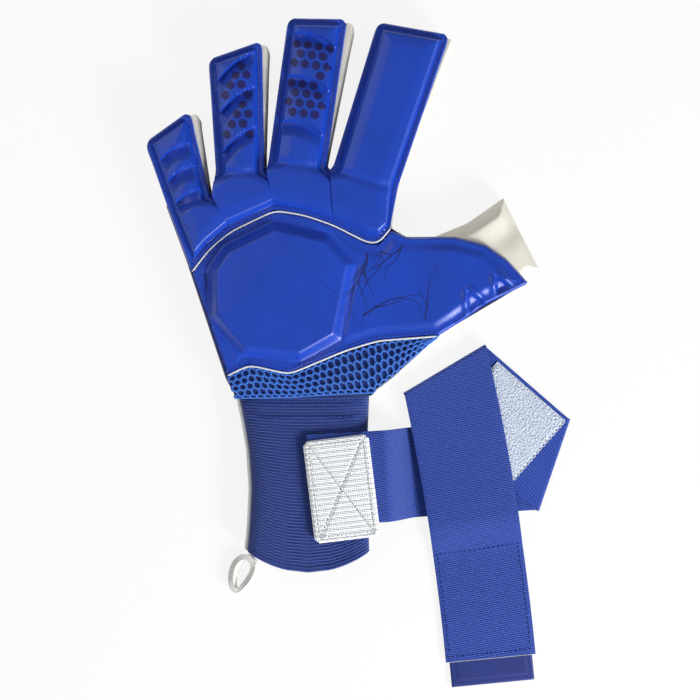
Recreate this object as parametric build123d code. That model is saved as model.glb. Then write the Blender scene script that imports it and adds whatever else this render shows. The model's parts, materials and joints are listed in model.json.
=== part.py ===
from build123d import *
import math
import os

# Left-hand goalkeeper glove, lying on its palm with its wrist strap folded beside it.
# Millimetres. +X is the thumb side, +Y the fingertips, +Z up from the surface under the palm.
# The origin is the middle of the footprint, on that surface.

# ---- layers, from the palm up ----
LATEX = 4.0            # cut latex of the palm side
PALM_LINING = 1.5      # foam backing inside the palm
HOLLOW = 11.5          # room left for the hand
BACK_LINING = 1.0      # lining under the back of the hand
FLANGE = 2.5           # flat stitched rim round each moulded back panel
PAD = 4.5              # rise of a moulded pad above its rim
PAD_SLOPE = 2.0        # bevel round the top of a pad
WALL = 3.0             # side strips between palm and back
WEB_WALL = 2.0         # small strips in the crotches between fingers
FOLD_GAP = 0.3         # clearance at each fold that moves

# ---- fingers: base point on the fold, lean to the thumb side, widths, side lengths ----
LITTLE = dict(name="little", base=(-93.2, 84.8), lean=-16.0, base_width=24.0,
              tip_width=28.0, outer_length=36.0, inner_length=46.0, roll=4.5)
RING = dict(name="ring", base=(-64.8, 101.4), lean=-2.4, base_width=26.5,
            tip_width=29.5, outer_length=60.0, inner_length=69.0, roll=4.0)
MIDDLE = dict(name="middle", base=(-33.4, 105.7), lean=8.0, base_width=31.5,
              tip_width=32.0, outer_length=76.0, inner_length=80.0, roll=5.0)
INDEX = dict(name="index", base=(3.8, 97.5), lean=18.0, base_width=37.0,
             tip_width=39.5, outer_length=81.5, inner_length=87.0, roll=4.0)
FINGERS = [LITTLE, RING, MIDDLE, INDEX]
WEB_DROPS = [8.0, 4.5, 2.5]     # how far each crotch lies below the folds beside it
FINGER_CORNER = 5.0             # round of the fingertip corners
PAD_RIM = 3.0                   # width of the stitched rim on a finger

# ---- thumb, in its own frame: X across it, Y along it ----
THUMB_BASE = (39.0, 40.2)
THUMB_LEAN = 60.0
THUMB_FOLD = 55.2               # width across the fold
THUMB_LENGTH = 57.0
THUMB_WIDTH = 46.0              # width of the latex thumb towards its tip
THUMB_WRAP = 3.0                # thickness of the latex that wraps over the thumb
THUMB_PAD = 3.0                 # rise of the moulded thumb panel

# ---- palm and back of the hand ----
WRIST_Y = -22.5                 # seam between the hand and the wrist band
HEEL = (-72.0, -13.0)           # outer side of the heel of the hand
OUTER_SIDE = (-94.0, 53.0)      # outer side below the little finger
THUMB_CROTCH = (16.5, 69.5)     # between index finger and thumb
THUMB_HEEL = (42.5, 10.0)       # corner of the hand below the thumb
WRIST_THUMB_SIDE = (11.0, -18.5)
KNUCKLE_SEAM = [(-120.0, 14.0), (-91.3, 46.0), (-70.0, 68.0), (-46.0, 79.5),
                (-25.0, 75.5), (8.0, 60.3), (17.0, 70.0), (40.0, 95.0)]
WRIST_SEAM = [(-90.0, -12.5), (-71.5, -10.5), (-60.0, -4.7), (-38.0, -9.6),
              (-8.0, 3.0), (10.0, 8.5), (43.0, 10.5), (70.0, 12.0)]
HAND_PAD = [(-81.0, 47.0), (-81.0, 21.0), (-63.0, 0.8), (-32.0, -2.5), (-11.0, 9.6),
            (-2.5, 50.0), (-18.0, 66.0), (-46.0, 72.5), (-73.0, 60.0)]
HAND_PAD_RISE = 5.5
HAND_PAD_CORNER = 6.0
MESH_THICKNESS = 2.5

# ---- wrist band ----
BAND_LEFT = -67.0
BAND_WAIST = -60.3              # the outer side curves in to here
BAND_RIGHT = 6.5
BAND_LENGTH = 85.0
BAND_DIP = 12.0                 # the free edge bows down by this
BAND_HEIGHT = 18.0
BAND_WALL = 2.5
BAND_ROUND = 6.0
PIPING = 1.6                    # white piping down the outer side
PATCH_WIDTH = 36.0
PATCH_LENGTH = 56.0
PATCH_TURN = 7.0
PATCH_CORNER = 5.0
PATCH_CENTRE = (-9.5, -73.0)
PATCH_THICKNESS = 1.6

# ---- strap: each run starts where the last one folds ----
STRAP_WIDTH = 50.0
STRAP = 1.6                     # webbing thickness
STRAP_GAP = 0.3                 # air between runs that lie on each other
STRAP_ROOT = (13.0, -66.3)      # end of the sewn part, at the edge of the wrist band
ROOT_LENGTH = 40.0
RUN_1_ANGLE = 3.4
RUN_1_LENGTH = 94.2
RUN_2_ANGLE = 139.0
RUN_2_LENGTH = 78.3
RUN_3_ANGLE = -77.5
RUN_3_TURN = -7.0               # the last run curves in plan by this many degrees
RUN_3_LENGTH = 161.3
DROP_RUN = 16.0                 # level distance in which run 1 comes down to the table
CROSS_MARGIN = 2.0              # how far run 3 stays up past the edge of run 1
SINK_RUN = 10.0                 # level distance in which run 3 then comes down
FUZZ_PATCH = 50.0               # length of the soft patch on run 2
FUZZ = 1.2
HOOK_LENGTH = 62.0              # length of the hook patch under the strap's end
HOOK = 1.0
PATCH_INSET = 2.0
TAB_LENGTH = 14.0
TAB_WIDTH = 46.0
TAB_DROP = 0.2                  # the tab lies this much lower than the strap's top

# ---- hanging loop at the wrist ----
LOOP_POINT = (-60.1, -110.3)
LOOP_ANGLE = 248.0
LOOP_LENGTH = 24.0
LOOP_WIDTH = 15.0
LOOP_TAPE = 3.2
LOOP_HEIGHT = 5.0

# levels that follow from the layers
LINING_TOP = LATEX + PALM_LINING
HOLLOW_TOP = LINING_TOP + HOLLOW
BACK = HOLLOW_TOP + BACK_LINING
THUMB_WRAP_TOP = HOLLOW_TOP - THUMB_WRAP    # underside of the latex that wraps over the thumb

nodes = {}


def turned(point, angle):
    """A point turned about the origin."""
    c = math.cos(math.radians(angle))
    s = math.sin(math.radians(angle))
    return (point[0] * c - point[1] * s, point[0] * s + point[1] * c)


def ahead(point, angle, distance):
    """The point at a distance from another, in a direction."""
    step = turned((distance, 0), angle)
    return (point[0] + step[0], point[1] + step[1])


def slab(shape, low, high):
    """A sheet of the plan shape between two heights."""
    return Pos(0, 0, low) * extrude(shape, amount=high - low, dir=(0, 0, 1))


def plan(points):
    """A closed plan outline."""
    return Polygon(*points, align=None)


def rounded(shape, radius, keep=lambda v: True):
    """The plan shape with the chosen corners rounded."""
    return fillet([v for v in shape.vertices() if keep(v)], radius)


def ribbon(points, thickness):
    """A strip of even thickness along the right-hand side of a path."""
    inner = []
    for i, point in enumerate(points):
        before = points[max(i - 1, 0)]
        after = points[min(i + 1, len(points) - 1)]
        here = [(before, point), (point, after)]
        normals = []
        for a, b in here:
            length = math.hypot(b[0] - a[0], b[1] - a[1])
            if length > 0:
                normals.append(((b[1] - a[1]) / length, (a[0] - b[0]) / length))
        n = (sum(x for x, _ in normals), sum(y for _, y in normals))
        scale = len(normals) * thickness / (n[0] ** 2 + n[1] ** 2)
        inner.append((point[0] + n[0] * scale, point[1] + n[1] * scale))
    return plan(points + inner[::-1])


# ---------------------------------------------------------------- fingers

def finger_place(finger):
    """Where a finger's own frame lies: origin on its fold, Y along it."""
    return Pos(*finger["base"], 0) * Rot(0, 0, -finger["lean"])


def fold_end(finger, side):
    """The end of a finger's fold on the outer (-1) or thumb (+1) side."""
    across = turned((side * finger["base_width"] / 2, 0), -finger["lean"])
    return (finger["base"][0] + across[0], finger["base"][1] + across[1])


def finger_points(finger, start, roll=0.0):
    """The corners of a finger's plan outline in its own frame."""
    base = finger["base_width"] / 2
    tip = finger["tip_width"] / 2
    return [(-base, start), (-tip, finger["outer_length"]),
            (tip + roll, finger["inner_length"]), (base, start)]


def above_fold(shape, start):
    """The part of a plan shape beyond the fold's clearance."""
    return shape & plan([(-100, start), (-100, 200), (100, 200), (100, start)])


def make_finger(finger):
    """The sheets of one finger."""
    name = finger["name"]
    start = FOLD_GAP / 2
    place = finger_place(finger)
    tip = finger["outer_length"] / 2
    at_tip = lambda v: v.Y > tip
    back = rounded(plan(finger_points(finger, start)), FINGER_CORNER, at_tip)
    grip = rounded(plan(finger_points(finger, start, finger["roll"])), FINGER_CORNER, at_tip)
    wide = plan(finger_points(finger, -WALL * 2))
    inside = offset(wide, amount=-WALL, kind=Kind.INTERSECTION)
    lining = above_fold(inside, start)
    raised = offset(wide, amount=-PAD_RIM, kind=Kind.INTERSECTION)
    raised = rounded(above_fold(raised, start), FINGER_CORNER / 2, at_tip)
    nodes[name + "_finger_latex"] = place * slab(grip, 0, LATEX)
    nodes[name + "_finger_palm_lining"] = place * slab(lining, LATEX, LINING_TOP)
    gusset = slab(back, LATEX, HOLLOW_TOP) - slab(inside, LATEX, HOLLOW_TOP)
    nodes[name + "_finger_gusset"] = place * gusset
    nodes[name + "_finger_back_lining"] = place * slab(back, HOLLOW_TOP, BACK)
    pad = slab(raised, BACK + FLANGE, BACK + FLANGE + PAD)
    rim = pad.faces().sort_by(Axis.Z)[-1].edges()
    pad = chamfer(rim.filter_by(lambda e: e.center().Y > 1), PAD_SLOPE)
    nodes[name + "_finger_back"] = place * (slab(back, BACK, BACK + FLANGE) + pad)


for finger in FINGERS:
    make_finger(finger)

# ---------------------------------------------------------------- thumb

thumb_place = Pos(*THUMB_BASE, 0) * Rot(0, 0, -THUMB_LEAN)
half_fold = THUMB_FOLD / 2
near = FOLD_GAP / 2
narrow = half_fold - THUMB_WIDTH        # outer side of the latex thumb, across its frame
tip = THUMB_LENGTH


def thumb_outline(start):
    """The latex thumb's plan, from its fold to its blunt tip."""
    return plan([(-half_fold, start), (narrow - 2, tip * 0.2), (narrow + 1, tip * 0.6),
                 (narrow - 1, tip + 2), (half_fold - 3, tip - 1), (half_fold, tip * 0.8),
                 (half_fold, start)])


thumb_grip = rounded(thumb_outline(near), 3.0, lambda v: v.Y > tip * 0.9)
thumb_inside = offset(thumb_outline(-WALL * 2), amount=-WALL, kind=Kind.INTERSECTION)
thumb_cover = plan([(-half_fold, near), (narrow + 4, tip * 0.41), (-1.9, tip * 0.63),
                    (half_fold * 0.4, tip * 0.735), (half_fold - 0.5, tip * 0.8),
                    (half_fold, near)])
thumb_window = offset(thumb_cover, amount=-WALL, kind=Kind.INTERSECTION)
nodes["thumb_latex"] = thumb_place * slab(thumb_grip, 0, LATEX)
nodes["thumb_palm_lining"] = thumb_place * slab(above_fold(thumb_inside, near), LATEX, LINING_TOP)
wrap_top = HOLLOW_TOP
wrap = slab(thumb_grip, LATEX, wrap_top) - slab(thumb_inside, LATEX, THUMB_WRAP_TOP)
window_to_fold = thumb_window + plan([(-half_fold + 6, -1), (-half_fold + 6, 8),
                                      (half_fold - WALL, 8), (half_fold - WALL, -1)])
nodes["thumb_wrap"] = thumb_place * (wrap - slab(window_to_fold, THUMB_WRAP_TOP, wrap_top))
nodes["thumb_back_lining"] = thumb_place * slab(thumb_cover, HOLLOW_TOP, BACK)
thumb_back = slab(thumb_cover, BACK, BACK + FLANGE)
thumb_raised = above_fold(offset(thumb_cover, amount=-PAD_RIM, kind=Kind.INTERSECTION), near)
nodes["thumb_back"] = thumb_place * (
    thumb_back + slab(thumb_raised, BACK + FLANGE, BACK + FLANGE + THUMB_PAD))
thumb_fold = [ahead(THUMB_BASE, 90 - THUMB_LEAN + 90, half_fold),
              ahead(THUMB_BASE, 90 - THUMB_LEAN - 90, half_fold)]

# ---------------------------------------------------------------- hand

crotches = []
for left, right, drop in zip(FINGERS, FINGERS[1:], WEB_DROPS):
    a = fold_end(left, 1)
    b = fold_end(right, -1)
    crotches.append([a, ((a[0] + b[0]) / 2, (a[1] + b[1]) / 2 - drop), b])

outer_path = [(BAND_LEFT, WRIST_Y), HEEL, OUTER_SIDE, fold_end(LITTLE, -1)]
index_path = [fold_end(INDEX, 1), THUMB_CROTCH, thumb_fold[0]]
heel_path = [thumb_fold[1], THUMB_HEEL, WRIST_THUMB_SIDE, (BAND_RIGHT, WRIST_Y)]
outline = outer_path + sum(crotches, []) + index_path + heel_path
# each fold of the hand stops short of the finger's fold by half the clearance
hand = plan(outline)
for finger in FINGERS:
    hand = hand - finger_place(finger) * Rectangle(finger["base_width"] + 0.02, FOLD_GAP)
hand = hand - thumb_place * Rectangle(THUMB_FOLD + 0.02, FOLD_GAP)
walls = {
    "outer_side_gusset": ribbon(outer_path, WALL),
    "index_side_gusset": ribbon(index_path, WALL),
    "thumb_heel_gusset": ribbon(heel_path, WALL),
}
for name, wall in walls.items():
    nodes[name] = slab(wall & hand, LATEX, HOLLOW_TOP)
web_strips = [ribbon(path, WEB_WALL) for path in crotches]
webs = [slab(strip & hand, LATEX, HOLLOW_TOP) for strip in web_strips]
nodes["finger_webs"] = webs[0] + webs[1] + webs[2]
palm_inside = hand
for wall in walls.values():
    palm_inside = palm_inside - wall
nodes["palm_latex"] = slab(hand, 0, LATEX)
palm_lining = slab(palm_inside, LATEX, LINING_TOP)
for web in webs:
    palm_lining = palm_lining - web
nodes["palm_lining"] = palm_lining
nodes["back_lining"] = slab(hand, HOLLOW_TOP, BACK)

below_knuckles = plan(KNUCKLE_SEAM + [(120, 95), (120, -200), (-120, -200)])
below_wrist_seam = plan(WRIST_SEAM + [(120, 12), (120, -200), (-120, -200), (-120, -12.5)])
knuckles = hand - below_knuckles
panel = (hand & below_knuckles) - below_wrist_seam
mesh = hand & below_wrist_seam
nodes["knuckle_panel"] = slab(knuckles, BACK, BACK + FLANGE + PAD - PAD_SLOPE)
hand_pad = slab(rounded(plan(HAND_PAD), HAND_PAD_CORNER), BACK + FLANGE,
                BACK + FLANGE + HAND_PAD_RISE)
hand_pad = chamfer(hand_pad.faces().sort_by(Axis.Z)[-1].edges(), PAD_SLOPE)
nodes["hand_back_panel"] = slab(panel, BACK, BACK + FLANGE) + hand_pad
nodes["mesh_panel"] = slab(mesh, BACK, BACK + MESH_THICKNESS)

# ---------------------------------------------------------------- wrist band

band_end = WRIST_Y - BAND_LENGTH
band_middle = (BAND_LEFT + BAND_RIGHT) / 2
band_foot = BAND_LEFT + 4.6


def band_outline(inset, extra):
    """The band's plan, drawn in by an inset and run on past both ends."""
    top = WRIST_Y + extra
    waist_y = WRIST_Y - BAND_LENGTH / 2
    side = ThreePointArc((BAND_LEFT + inset, WRIST_Y), (BAND_WAIST + inset, waist_y),
                         (band_foot + inset, band_end))
    foot = ThreePointArc((band_foot + inset, band_end - extra),
                         (band_middle, band_end - BAND_DIP - extra),
                         (BAND_RIGHT - inset, band_end - extra))
    edges = [side, foot,
             Line((BAND_RIGHT - inset, band_end - extra), (BAND_RIGHT - inset, top)),
             Line((BAND_RIGHT - inset, top), (BAND_LEFT + inset, top))]
    if extra > 0:
        edges.append(Line((band_foot + inset, band_end), (band_foot + inset, band_end - extra)))
        edges.append(Line((BAND_LEFT + inset, top), (BAND_LEFT + inset, WRIST_Y)))
    return make_face(edges)


def long_edges(solid):
    """The edges that run down both sides of the band."""
    return [e for e in solid.edges()
            if abs((e @ 1 - e @ 0).Y) > BAND_LENGTH / 2]


band_body = slab(band_outline(0, 0), 0, BAND_HEIGHT)
band_body = fillet(long_edges(band_body), BAND_ROUND)
band_hollow = slab(band_outline(BAND_WALL, 5), BAND_WALL, BAND_HEIGHT - BAND_WALL)
band_hollow = fillet(long_edges(band_hollow), BAND_ROUND - BAND_WALL)
nodes["wrist_band"] = band_body - band_hollow

piping_side = [ThreePointArc((BAND_LEFT - out, WRIST_Y), (BAND_WAIST - out, WRIST_Y - BAND_LENGTH / 2),
                             (band_foot - out, band_end)) for out in (0, PIPING)]
piping = make_face([piping_side[0], piping_side[1],
                    Line(piping_side[0] @ 0, piping_side[1] @ 0),
                    Line(piping_side[0] @ 1, piping_side[1] @ 1)])
nodes["side_piping"] = slab(piping, BAND_HEIGHT / 2 - PIPING / 2, BAND_HEIGHT / 2 + PIPING / 2)

# ---------------------------------------------------------------- strap


def strap_line(point, angle, distance):
    """A line across the strap's plan, as two far points."""
    return [ahead(point, angle, -distance), ahead(point, angle, distance)]


def beyond(point, angle, side):
    """A large plan area on one side of a line (+1 is its left)."""
    a, b = strap_line(point, angle, 300)
    return plan([a, b, ahead(b, angle + 90 * side, 300), ahead(a, angle + 90 * side, 300)])


def straight_run(start, angle, before, after, width=STRAP_WIDTH):
    """A straight strap's plan, from before to after its start."""
    frame = Pos(*start, 0) * Rot(0, 0, angle)
    return frame * plan([(before, -width / 2), (after, -width / 2),
                         (after, width / 2), (before, width / 2)])


def bent_sheet(start, angle, levels, thickness):
    """A sheet bent along its length: levels are (distance, height of its top)."""
    section = ribbon([(x, z) for x, z in levels], thickness)
    upright = Pos(*start, 0) * Rot(0, 0, angle) * Rot(90, 0, 0)
    return upright * (Pos(0, 0, -STRAP_WIDTH) * extrude(section, amount=2 * STRAP_WIDTH, dir=(0, 0, 1)))


root_top = BAND_HEIGHT + STRAP
root = straight_run(STRAP_ROOT, RUN_1_ANGLE, -ROOT_LENGTH, -FOLD_GAP / 2)
nodes["strap_root"] = slab(root, BAND_HEIGHT, root_top)
patch = Pos(*PATCH_CENTRE, 0) * Rot(0, 0, PATCH_TURN) * chamfer(
    Rectangle(PATCH_WIDTH, PATCH_LENGTH).vertices(), PATCH_CORNER / 2)
nodes["anchor_patch"] = slab(patch, root_top, root_top + PATCH_THICKNESS)

fold_1 = ahead(STRAP_ROOT, RUN_1_ANGLE, RUN_1_LENGTH)
fold_1_angle = (RUN_1_ANGLE + RUN_2_ANGLE) / 2
fold_2 = ahead(fold_1, RUN_2_ANGLE, RUN_2_LENGTH)
fold_2_angle = (RUN_2_ANGLE + RUN_3_ANGLE + 360) / 2 - 180

level = STRAP
run_1 = straight_run(STRAP_ROOT, RUN_1_ANGLE, FOLD_GAP / 2, RUN_1_LENGTH + STRAP_WIDTH)
run_1 = run_1 - beyond(fold_1, fold_1_angle, -1)
run_1_levels = [(0, root_top), (2, root_top), (2 + DROP_RUN, level),
                (RUN_1_LENGTH + STRAP_WIDTH, level)]
nodes["strap_run_1"] = slab(run_1, 0, root_top) & bent_sheet(
    STRAP_ROOT, RUN_1_ANGLE, run_1_levels, STRAP)

run_2_bottom = level + STRAP_GAP
run_2_top = run_2_bottom + STRAP
run_2 = straight_run(fold_1, RUN_2_ANGLE, -STRAP_WIDTH, RUN_2_LENGTH + STRAP_WIDTH)
run_2 = run_2 - beyond(fold_1, fold_1_angle, -1) - beyond(fold_2, fold_2_angle, 1)
nodes["strap_run_2"] = slab(run_2, run_2_bottom, run_2_top)
fold_1_reach = STRAP_WIDTH / 2 / math.tan(math.radians(RUN_2_ANGLE - fold_1_angle))
fuzz = straight_run(fold_1, RUN_2_ANGLE, fold_1_reach, fold_1_reach + FUZZ_PATCH,
                    STRAP_WIDTH - 2 * PATCH_INSET)
nodes["loop_patch"] = slab(fuzz - beyond(fold_2, fold_2_angle, 1), run_2_top, run_2_top + FUZZ)

run_3_bottom = run_2_top + FUZZ + STRAP_GAP
curve_radius = RUN_3_LENGTH / math.radians(-RUN_3_TURN)
curve_centre = ahead(fold_2, RUN_3_ANGLE - 90, curve_radius)


def on_curve(distance, across):
    """A point of run 3: distance along it, across it to its left."""
    angle = RUN_3_ANGLE - math.degrees(distance / curve_radius)
    return ahead(curve_centre, angle + 90, curve_radius + across)


def curved_run(start, end, width):
    """Run 3's plan between two distances along it."""
    middle = (start + end) / 2
    half = width / 2
    left = [on_curve(d, half) for d in (start, middle, end)]
    right = [on_curve(d, -half) for d in (start, middle, end)]
    return make_face([ThreePointArc(*left), ThreePointArc(*right),
                      Line(left[0], right[0]), Line(left[2], right[2])])


end_top = HOOK + STRAP
run_3_top = run_3_bottom + STRAP
run_3_chord = RUN_3_ANGLE + RUN_3_TURN / 2
# run 3 stays level until its whole width has passed the lower edge of run 1
above_run_1 = turned((fold_2[0] - STRAP_ROOT[0], fold_2[1] - STRAP_ROOT[1]), -RUN_1_ANGLE)[1]
crossing = math.radians(RUN_1_ANGLE - run_3_chord)
cross_length = (above_run_1 + STRAP_WIDTH / 2 + STRAP_WIDTH / 2 * math.cos(crossing)) / math.sin(crossing)
cross_length = cross_length + CROSS_MARGIN
run_3_levels = [(-STRAP_WIDTH, run_3_top), (cross_length, run_3_top),
                (cross_length + SINK_RUN, end_top), (RUN_3_LENGTH + STRAP_WIDTH, end_top)]
run_3 = curved_run(-STRAP_WIDTH, RUN_3_LENGTH, STRAP_WIDTH) - beyond(fold_2, fold_2_angle, 1)
nodes["strap_run_3"] = slab(run_3, 0, run_3_top) & bent_sheet(
    fold_2, run_3_chord, run_3_levels, STRAP)
hook = curved_run(RUN_3_LENGTH - HOOK_LENGTH, RUN_3_LENGTH - PATCH_INSET,
                  STRAP_WIDTH - 2 * PATCH_INSET)
nodes["hook_patch"] = slab(hook, 0, HOOK)

tab_hinge = on_curve(RUN_3_LENGTH, 0)
tab_angle = RUN_3_ANGLE + RUN_3_TURN
tab = plan([(FOLD_GAP, -TAB_WIDTH / 2), (TAB_LENGTH, -TAB_WIDTH / 2),
            (TAB_LENGTH, TAB_WIDTH / 2), (FOLD_GAP, TAB_WIDTH / 2)])
tab = rounded(tab, 2.5, lambda v: v.X > TAB_LENGTH / 2)
tab_top = end_top - TAB_DROP
nodes["pull_tab"] = Pos(*tab_hinge, 0) * Rot(0, 0, tab_angle) * slab(tab, tab_top - STRAP, tab_top)

# ---------------------------------------------------------------- hanging loop

loop_place = Pos(*LOOP_POINT, 0) * Rot(0, 0, LOOP_ANGLE)
loop_middle = LOOP_LENGTH / 2
loop_out = Pos(loop_middle, 0) * RectangleRounded(LOOP_LENGTH, LOOP_WIDTH, LOOP_WIDTH / 2 - 0.1)
loop_in = Pos(loop_middle, 0) * RectangleRounded(
    LOOP_LENGTH - 2 * LOOP_TAPE, LOOP_WIDTH - 2 * LOOP_TAPE, LOOP_WIDTH / 2 - LOOP_TAPE - 0.1)
band_foot_area = band_outline(-FOLD_GAP, FOLD_GAP)
loop = loop_place * slab(loop_out - loop_in, 0, LOOP_HEIGHT)
nodes["pull_loop"] = loop - slab(band_foot_area, 0, LOOP_HEIGHT)

# ---------------------------------------------------------------- origin and export

boxes = [part.bounding_box() for part in nodes.values()]
shift = Pos(-(min(b.min.X for b in boxes) + max(b.max.X for b in boxes)) / 2,
            -(min(b.min.Y for b in boxes) + max(b.max.Y for b in boxes)) / 2,
            -min(b.min.Z for b in boxes))
os.makedirs("parts", exist_ok=True)
for name, part in nodes.items():
    export_step(shift * part, f"parts/{name}.step")
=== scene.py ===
import bpy
import json
import math
import random
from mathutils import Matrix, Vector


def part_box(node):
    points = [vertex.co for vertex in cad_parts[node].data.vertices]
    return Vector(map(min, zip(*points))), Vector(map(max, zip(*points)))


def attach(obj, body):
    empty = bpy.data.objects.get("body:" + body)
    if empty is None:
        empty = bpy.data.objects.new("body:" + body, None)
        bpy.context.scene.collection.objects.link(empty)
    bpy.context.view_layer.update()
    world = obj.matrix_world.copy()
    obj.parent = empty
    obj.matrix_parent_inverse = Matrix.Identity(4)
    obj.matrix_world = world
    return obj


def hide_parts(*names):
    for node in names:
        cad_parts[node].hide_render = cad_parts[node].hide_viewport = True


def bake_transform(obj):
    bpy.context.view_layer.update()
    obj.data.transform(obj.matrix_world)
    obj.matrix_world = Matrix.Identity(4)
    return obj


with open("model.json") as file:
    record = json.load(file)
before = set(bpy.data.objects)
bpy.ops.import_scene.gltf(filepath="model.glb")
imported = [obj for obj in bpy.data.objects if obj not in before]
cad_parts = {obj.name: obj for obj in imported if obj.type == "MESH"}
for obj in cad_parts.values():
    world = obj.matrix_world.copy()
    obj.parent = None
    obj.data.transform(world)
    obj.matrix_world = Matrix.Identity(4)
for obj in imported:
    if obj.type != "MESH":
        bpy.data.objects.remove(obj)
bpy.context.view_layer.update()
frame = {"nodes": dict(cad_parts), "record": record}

random.seed(7)

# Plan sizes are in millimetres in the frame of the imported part; MM turns them into metres.
MM = 0.001
JOINTS = {j["name"]: j for j in frame["record"]["behaviour"]["joints"]}


def joint_point(name):
    """A joint's place in plan, in millimetres."""
    return tuple(v / MM for v in JOINTS[name]["pos_m"][:2])


def box(node):
    """A node's lowest and highest corners, in millimetres."""
    low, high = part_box(node)
    return [v / MM for v in low], [v / MM for v in high]


BACK = box("back_lining")[1][2]          # top of the lining under the back panels
LATEX = box("palm_latex")[1][2]
FLANGE = 2.5
RIM = 3.2                                # width of the flat stitched rim
WRIST_Y = box("palm_latex")[0][1]
BAND_LOW, BAND_HIGH = box("wrist_band")

# ---------------------------------------------------------------- materials


def material(name, colour, rough, build=None, sheen=0.0, coat=0.0):
    """A principled material whose colour and bump nodes come from build."""
    mat = bpy.data.materials.new(name)
    mat.use_nodes = True
    tree = mat.node_tree
    shader = tree.nodes["Principled BSDF"]
    shader.inputs["Base Color"].default_value = (*colour, 1)
    shader.inputs["Roughness"].default_value = rough
    shader.inputs["Sheen Weight"].default_value = sheen
    shader.inputs["Coat Weight"].default_value = coat
    shader.inputs["Coat Roughness"].default_value = 0.35
    if build:
        build(tree, shader, colour)
    return mat


def texture(tree, kind, scale, stretch=(1, 1, 1), turn=0.0, **settings):
    """A texture node in object space, stretched and turned."""
    where = tree.nodes.new("ShaderNodeTexCoord")
    mapping = tree.nodes.new("ShaderNodeMapping")
    mapping.inputs["Scale"].default_value = stretch
    mapping.inputs["Rotation"].default_value = (0, 0, turn)
    node = tree.nodes.new(kind)
    node.inputs["Scale"].default_value = scale
    for key, value in settings.items():
        setattr(node, key, value)
    tree.links.new(where.outputs["Object"], mapping.inputs["Vector"])
    tree.links.new(mapping.outputs["Vector"], node.inputs["Vector"])
    return node


def bump(tree, shader, sources, distance):
    """Bumps from one or more texture outputs, added up."""
    normal = None
    for output, strength in sources:
        node = tree.nodes.new("ShaderNodeBump")
        node.inputs["Strength"].default_value = strength
        node.inputs["Distance"].default_value = distance
        tree.links.new(output, node.inputs["Height"])
        if normal:
            tree.links.new(normal, node.inputs["Normal"])
        normal = node.outputs["Normal"]
    tree.links.new(normal, shader.inputs["Normal"])


def tint(tree, shader, output, colour, spread):
    """Colour that runs between a darker and a lighter shade of itself."""
    ramp = tree.nodes.new("ShaderNodeValToRGB")
    ramp.color_ramp.elements[0].position = 0.3
    ramp.color_ramp.elements[1].position = 0.7
    ramp.color_ramp.elements[0].color = (*[c * (1 - spread) for c in colour], 1)
    ramp.color_ramp.elements[1].color = (*[min(1, c * (1 + spread)) for c in colour], 1)
    tree.links.new(output, ramp.inputs["Fac"])
    tree.links.new(ramp.outputs["Color"], shader.inputs["Base Color"])


def foam(tree, shader, colour):
    """Smooth moulded foam."""
    broad = texture(tree, "ShaderNodeTexNoise", 35)
    fine = texture(tree, "ShaderNodeTexNoise", 1800)
    pores = texture(tree, "ShaderNodeTexVoronoi", 1400)
    tint(tree, shader, broad.outputs["Fac"], colour, 0.07)
    bump(tree, shader, [(fine.outputs["Fac"], 0.25), (pores.outputs["Distance"], 0.2)], 0.0002)


def latex(tree, shader, colour):
    """Slightly rough latex."""
    broad = texture(tree, "ShaderNodeTexNoise", 60)
    fine = texture(tree, "ShaderNodeTexNoise", 2600)
    tint(tree, shader, broad.outputs["Fac"], colour, 0.06)
    bump(tree, shader, [(fine.outputs["Fac"], 0.35), (broad.outputs["Fac"], 0.2)], 0.0004)


def woven(turn, pitch, spread=0.35, depth=0.0003):
    """Cloth with cords across it at a pitch and fine yarns along it."""
    def build(tree, shader, colour):
        """Cords one way and yarns the other."""
        bands = math.pi * 2 / pitch / 20
        cords = texture(tree, "ShaderNodeTexWave", bands, turn=turn, bands_direction="Y")
        yarns = texture(tree, "ShaderNodeTexWave", bands * 1.3, turn=turn, bands_direction="X")
        grain = texture(tree, "ShaderNodeTexNoise", 900)
        tint(tree, shader, cords.outputs["Fac"], colour, spread)
        bump(tree, shader, [(cords.outputs["Fac"], 0.8), (yarns.outputs["Fac"], 0.5),
                            (grain.outputs["Fac"], 0.3)], depth)
    return build


def fuzz(tree, shader, colour):
    """The loops of loop tape."""
    fine = texture(tree, "ShaderNodeTexNoise", 900)
    tint(tree, shader, fine.outputs["Fac"], colour, 0.2)
    bump(tree, shader, [(fine.outputs["Fac"], 1.0)], 0.0012)


def radians(angle):
    """Degrees to radians."""
    return math.radians(angle)


BLUE = material("back_foam", (0.003, 0.05, 0.47), 0.36, foam, sheen=0.05, coat=0.14)
DOT = material("dot_print", (0.008, 0.008, 0.12), 0.45, foam)
CRACK = material("crack_print", (0.006, 0.012, 0.12), 0.5, foam)
CREAM = material("palm_latex", (0.80, 0.77, 0.67), 0.62, latex)
NAVY = material("gusset_cloth", (0.008, 0.02, 0.16), 0.85, woven(0, 0.0009), sheen=0.3)
EDGE = material("white_edge", (0.78, 0.80, 0.82), 0.7, latex)
THREAD = material("blue_thread", (0.012, 0.05, 0.36), 0.6, woven(radians(40), 0.0005))
WHITE_THREAD = material("white_thread", (0.74, 0.75, 0.74), 0.7, woven(radians(40), 0.0005))
AIR = material("air_mesh_cloth", (0.012, 0.14, 0.62), 0.55, foam, sheen=0.3)
UNDER_MESH = material("under_mesh", (0.004, 0.03, 0.2), 0.9, foam)
BAND = material("band_elastic", (0.012, 0.045, 0.27), 0.8, woven(0, 0.0008, 0.2), sheen=0.25)
STRAP = material("strap_elastic", (0.008, 0.045, 0.33), 0.72, woven(radians(-10), 0.0012), sheen=0.25)
STRAP_2 = material("strap_inner", (0.008, 0.05, 0.36), 0.75, woven(radians(49), 0.0016), sheen=0.25)
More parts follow.
